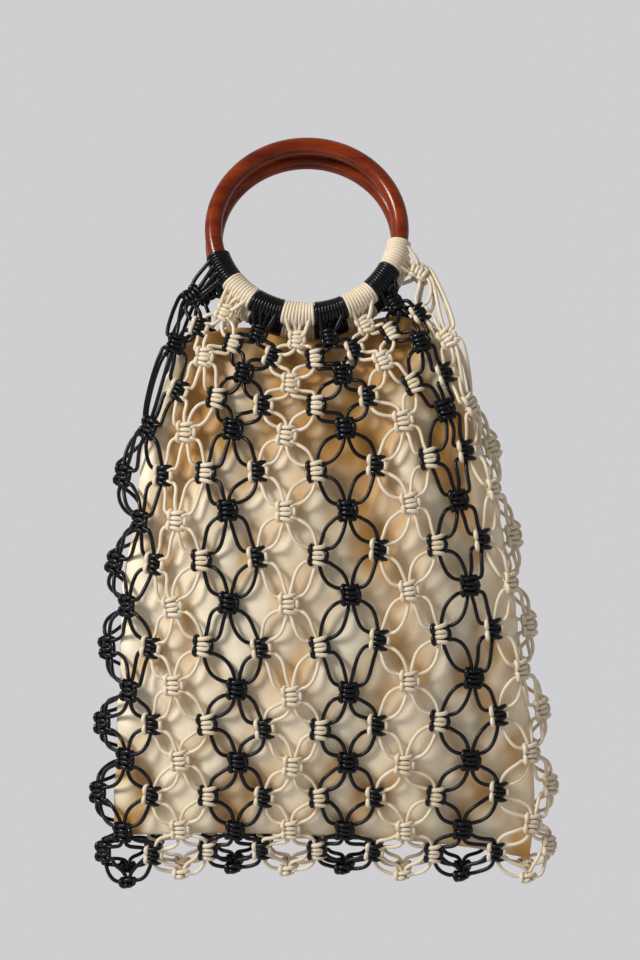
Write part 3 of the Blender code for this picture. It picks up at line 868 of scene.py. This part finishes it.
class BagCordSettings(bpy.types.PropertyGroup):
    """The knotted and wound cord"""
    black_diameter: FloatProperty(
        name="Black diameter", description="Thickness of the dark cord", unit="LENGTH", min=0.001, max=0.003,
        default=0.0026)
    cream_diameter: FloatProperty(
        name="Cream diameter", description="Thickness of the light cord", unit="LENGTH", min=0.001, max=0.003,
        default=0.0024)
    looseness: FloatProperty(
        name="Looseness", description="How far the cords bow between two knots", subtype="FACTOR",
        min=0.5, max=1.5, default=1.06)
    black: FloatVectorProperty(
        name="Black", description="Colour of the dark cord", subtype="COLOR", size=3, min=0, max=1,
        default=linear("08080a"))
    black_rubbed: FloatVectorProperty(
        name="Rubbed black", description="Colour of the dark cord where it is rubbed", subtype="COLOR", size=3,
        min=0, max=1, default=linear("101014"))
    cream: FloatVectorProperty(
        name="Cream", description="Colour of the light cord", subtype="COLOR", size=3, min=0, max=1,
        default=linear("e8dac1"))
    cream_rubbed: FloatVectorProperty(
        name="Rubbed cream", description="Colour of the light cord where it has yellowed", subtype="COLOR", size=3,
        min=0, max=1, default=linear("dfcca8"))
    seed: IntProperty(name="Seed", description="Which unevenness the hand work has", min=0, default=7)


class BagLiningSettings(bpy.types.PropertyGroup):
    """The cotton pouch"""
    cloth: FloatVectorProperty(
        name="Cloth", description="Colour of the cotton in the light", subtype="COLOR", size=3, min=0, max=1,
        default=linear("fbeccd"))
    # Painted shade: the colour that the cotton is painted where it lies in shade.
    shade: FloatVectorProperty(
        name="Shade", description="Colour of the cotton down in its folds", subtype="COLOR", size=3, min=0, max=1,
        default=linear("c8964f"))
    thickness: FloatProperty(
        name="Thickness", description="Thickness of the doubled cloth", unit="LENGTH", min=0.0004, max=0.0016,
        default=0.0008)
    seed: IntProperty(name="Seed", description="Which creases the cloth has", min=0, default=3)


class BagStageSettings(bpy.types.PropertyGroup):
    """The pale surroundings, the floor and the lamps"""
    backdrop: FloatVectorProperty(
        name="Backdrop", description="Colour of the surroundings and the floor", subtype="COLOR", size=3, min=0,
        max=1, default=linear("cfced1"))
    window: FloatProperty(
        name="Window", description="Strength of the soft light from the upper left", unit="POWER", min=0,
        default=70.0)
    glow: FloatProperty(
        name="Light behind", description="How much light the surroundings shed from behind", min=0, default=0.9)
    dim: FloatProperty(
        name="Light in front", description="How much light they shed from in front", min=0, default=0.3)


class BagSettings(bpy.types.PropertyGroup):
    """All settings of the bag"""
    rings: PointerProperty(type=BagRingSettings)
    cords: PointerProperty(type=BagCordSettings)
    lining: PointerProperty(type=BagLiningSettings)
    stage: PointerProperty(type=BagStageSettings)


# Operators

class BAG_OT_stage(bpy.types.Operator):
    """Set up the camera, the pale surroundings and floor, and the soft lamps"""
    bl_idname = "macrame_bag.stage"
    bl_label = "Set Up Stage"

    def execute(self, context):
        stage = context.scene.macrame_bag.stage
        camera = bpy.data.objects.new("camera", bpy.data.cameras.new("camera"))
        camera.location = CAMERA_PLACE
        camera.rotation_euler = (math.radians(90), 0, 0)
        camera.data.sensor_fit = "VERTICAL"
        camera.data.sensor_height = CAMERA_SENSOR
        camera.data.lens = CAMERA_LENS
        context.scene.collection.objects.link(camera)
        context.scene.camera = camera
        context.scene.view_settings.view_transform = "Standard"
        self.floor(stage)
        for name, place, size, power in (
            ("window", (-1.8, -1.5, 1.1), 0.75, stage.window),
            ("bounce", (1.9, -1.5, -0.1), 1.6, stage.window * 0.04),
        ):
            light = bpy.data.lights.new(name, "AREA")
            light.shape, light.size, light.energy = "SQUARE", size, power
            lamp = bpy.data.objects.new(name, light)
            lamp.location = place
            aim = Vector((0, 0, -0.24)) - Vector(place)
            lamp.rotation_euler = aim.to_track_quat("-Z", "Y").to_euler()
            context.scene.collection.objects.link(lamp)
        context.scene.world = daylight(tuple(stage.backdrop), stage.glow, stage.dim)
        return {"FINISHED"}

    def floor(self, stage):
        """A round floor far under the bag."""
        radius, down, around = 2.6, -0.9, 64
        turns = [2 * math.pi * k / around for k in range(around)]
        points = [(r * math.cos(t), r * math.sin(t), down) for r in (radius / 9999, radius) for t in turns]
        k = np.arange(around)
        quads = np.stack([k, (k + 1) % around, around + (k + 1) % around, around + k], -1)[:, ::-1]
        made = build_mesh("floor", np.array(points) / MM, quads)
        made.data.materials.append(studio_paper(tuple(min(1, c * 1.05) for c in stage.backdrop)))
        return made


class BAG_OT_rings(bpy.types.Operator):
    """Turn the two wooden rings"""
    bl_idname = "macrame_bag.rings"
    bl_label = "Turn Rings"

    def execute(self, context):
        rings = context.scene.macrame_bag.rings
        wood = lacquered_hardwood(tuple(rings.stain), tuple(rings.grain))
        for word, side in (("front", FRONT), ("back", BACK)):
            points, quads = ring_torus(side)
            ring = build_mesh(f"turned_ring_{word}", points, quads)
            finish_piece(ring, wood, "lacquered_wood", f"ring_{word}")
        return {"FINISHED"}


class BAG_OT_bands(bpy.types.Operator):
    """Wind the bands of cord round the rings"""
    bl_idname = "macrame_bag.bands"
    bl_label = "Wind Bands"

    def execute(self, context):
        cords = context.scene.macrame_bag.cords
        skins = cord_skins(cords)
        for word, side in (("front", FRONT), ("back", BACK)):
            for column in range(COLUMNS):
                colour = ("black", "cream")[column % 2]
                points, quads, marks = tube(wound_path(side, column, WOUND_CORD), WOUND_CORD / 2, CORD_SIDES)
                band = build_mesh(f"wound_{word}_{column + 1}", points, quads, marks)
                finish_piece(band, skins[colour], f"{colour}_cord", f"wrap_{word}_{column + 1}")
        return {"FINISHED"}


class BAG_OT_net(bpy.types.Operator):
    """Knot the net of black and cream cord"""
    bl_idname = "macrame_bag.net"
    bl_label = "Knot Net"

    def execute(self, context):
        cords = context.scene.macrame_bag.cords
        knots = place_knots()
        turn_knots(knots, cords.seed)
        paths = {key: smooth_path(points, CORD_STEP)
                 for key, points in run_cords(knots, cords.looseness, cords.seed).items()}
        crowds = dict(zip(paths, crowding(list(paths.values()), CROWD_REACH)))
        skins = cord_skins(cords)
        for word, first in (("front", 0), ("back", COLUMNS)):
            for colour in ("black", "cream"):
                radius = getattr(cords, f"{colour}_diameter") / MM / 2
                tubes, shades = [], []
                for (column, slot), path in paths.items():
                    own = column if column < COLUMNS else 2 * COLUMNS - 1 - column
                    if first <= column < first + COLUMNS and ("black", "cream")[own % 2] == colour:
                        tubes.append(tube(path, radius, CORD_SIDES))
                        rings = tubes[-1][0].reshape(len(path), CORD_SIDES, 3)
                        round_path = (rings - path[:, None, :3]) / radius
                        # Painted shade: darker the more a corner faces the cords crowding round it.
                        shade = (round_path * crowds[column, slot][:, None]).sum(2)
                        shades.append(np.clip(shade * 1.3 - 0.25, 0, 1).ravel())
                net = build_mesh(f"net_{word}_{colour}", *join_tubes(tubes), shade=np.concatenate(shades))
                finish_piece(net, skins[colour], f"{colour}_cord", f"net_{word}")
        return {"FINISHED"}


class BAG_OT_lining(bpy.types.Operator):
    """Sew the cotton pouch"""
    bl_idname = "macrame_bag.lining"
    bl_label = "Sew Lining"

    def execute(self, context):
        lining = context.scene.macrame_bag.lining
        points, quads, shade = lining_mesh(lining.thickness / MM, lining.seed)
        pouch = build_mesh("cotton_pouch", points, quads, shade=shade)
        finish_piece(pouch, cotton_lawn(tuple(lining.cloth), tuple(lining.shade)), "cotton", "lining")
        return {"FINISHED"}


def cord_skins(cords):
    """The two cord materials, made once."""
    made = {}
    for colour, roughness, gloss, sheen in (("black", 0.26, 0.3, 0.0), ("cream", 0.48, 0.4, 0.1)):
        name = f"waxed_{colour}_cotton"
        made[colour] = bpy.data.materials.get(name) or waxed_cord(
            name, tuple(getattr(cords, colour)), tuple(getattr(cords, f"{colour}_rubbed")), roughness, gloss, sheen)
    return made


class VIEW3D_PT_macrame_bag(bpy.types.Panel):
    """Lists the pieces of the bag and their settings"""
    bl_label = "Macrame Bag"
    bl_space_type = "VIEW_3D"
    bl_region_type = "UI"
    bl_category = "Macrame Bag"

    def draw(self, context):
        bag = context.scene.macrame_bag
        for group, operator in (("stage", BAG_OT_stage), ("rings", BAG_OT_rings), ("cords", BAG_OT_bands),
                                ("cords", BAG_OT_net), ("lining", BAG_OT_lining)):
            box = self.layout.box()
            settings = getattr(bag, group)
            if operator is not BAG_OT_bands:
                for name in settings.bl_rna.properties.keys():
                    if name not in ("rna_type", "name"):
                        box.prop(settings, name)
            box.operator(operator.bl_idname)


CLASSES = (
    BagRingSettings, BagCordSettings, BagLiningSettings, BagStageSettings, BagSettings,
    BAG_OT_stage, BAG_OT_rings, BAG_OT_bands, BAG_OT_net, BAG_OT_lining, VIEW3D_PT_macrame_bag,
)


def register():
    for made in CLASSES:
        bpy.utils.register_class(made)
    bpy.types.Scene.macrame_bag = PointerProperty(type=BagSettings)


def unregister():
    del bpy.types.Scene.macrame_bag
    for made in reversed(CLASSES):
        bpy.utils.unregister_class(made)


def main():
    register()
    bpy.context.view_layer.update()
    bpy.ops.macrame_bag.stage()
    bpy.ops.macrame_bag.rings()
    bpy.ops.macrame_bag.bands()
    bpy.ops.macrame_bag.net()
    bpy.ops.macrame_bag.lining()


if __name__ == "__main__":
    main()
